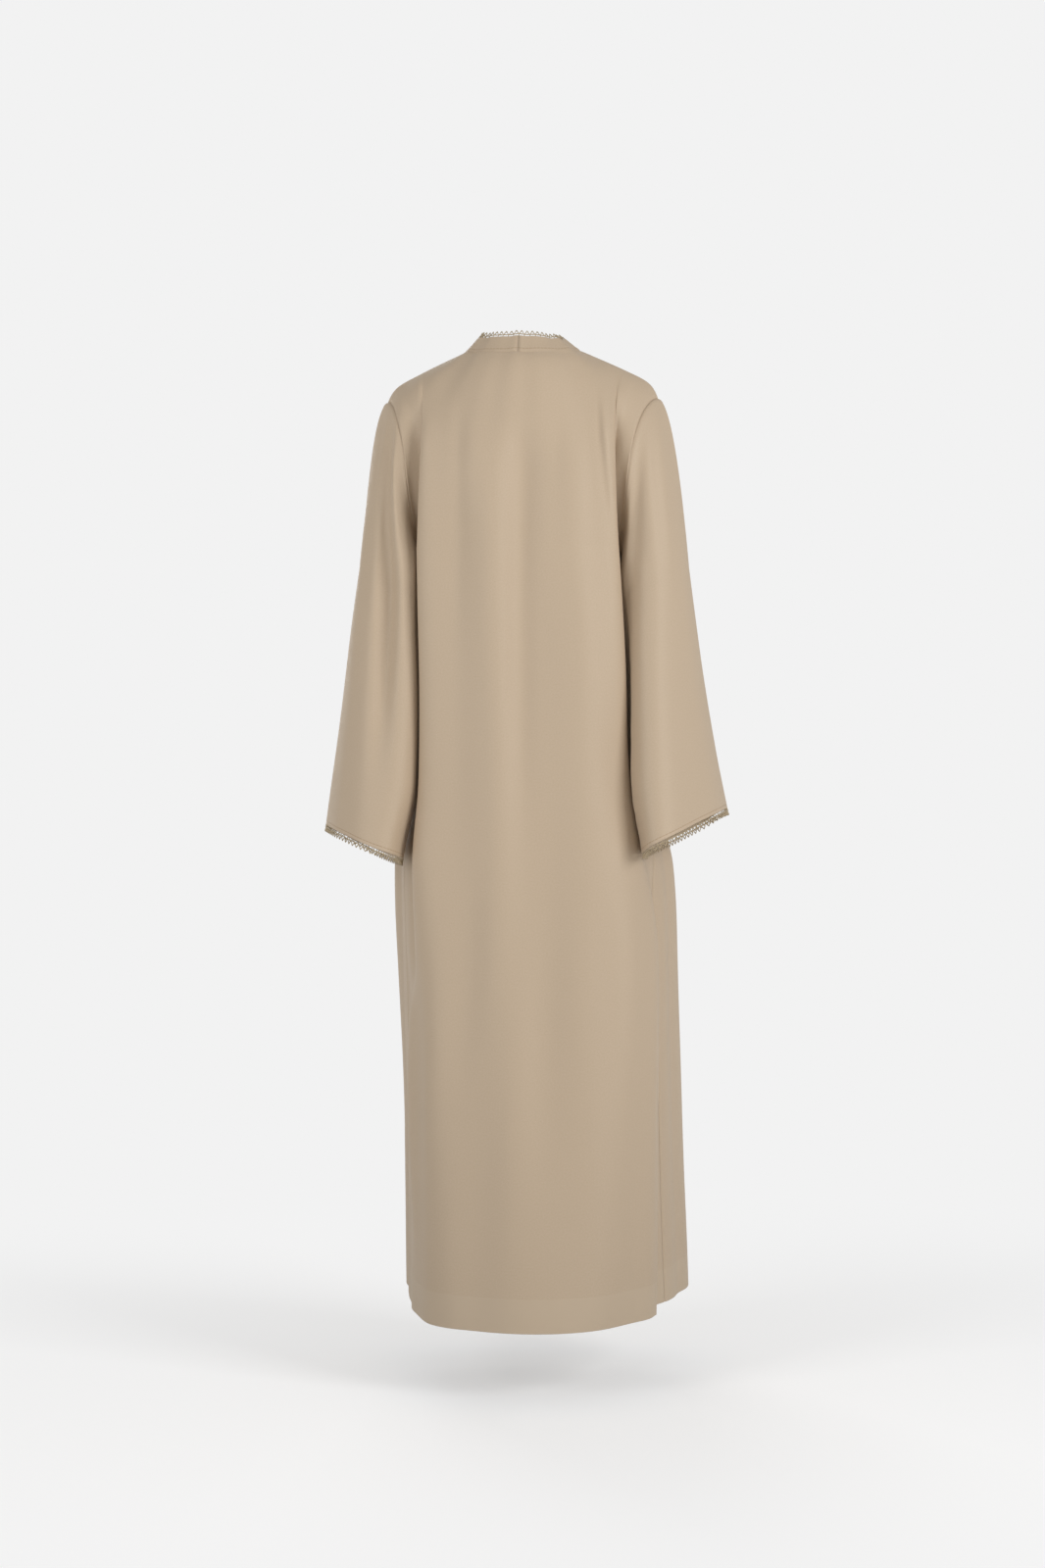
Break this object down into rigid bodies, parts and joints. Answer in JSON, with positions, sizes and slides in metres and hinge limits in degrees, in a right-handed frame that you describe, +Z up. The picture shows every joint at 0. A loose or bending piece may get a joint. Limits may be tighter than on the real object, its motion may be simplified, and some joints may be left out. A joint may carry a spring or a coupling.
{
  "type": "abaya cloak",
  "caption": "Open-front abaya cloak in the form it takes when worn, with wide sleeves, a stand neckband and picot edging at the neck, front edges and cuffs.",
  "frame": {"origin": "midway between the two points where the shoulder seams meet the neckband, level with the tops of the wearer's shoulders at the neck", "axes": "+Z up along the length of the cloak, -Y out of its open front, +X towards the wearer's left arm"},
  "size_m": [0.6102, 0.4075, 1.4612],
  "materials": {
    "crepe": "warm beige-taupe crepe with a very smooth, soft satin face and a heavy drape",
    "picot_braid": "cream crocheted picot edging of matt twisted thread"
  },
  "bodies": {
    "root": {"back": "crepe", "front_left": "crepe", "front_right": "crepe", "sleeve_left": "crepe", "sleeve_right": "crepe", "neckband_left": "crepe", "neckband_right": "crepe", "trim_neck": "picot_braid", "trim_cuff_left": "picot_braid", "trim_cuff_right": "picot_braid"}
  },
  "joints": []
}
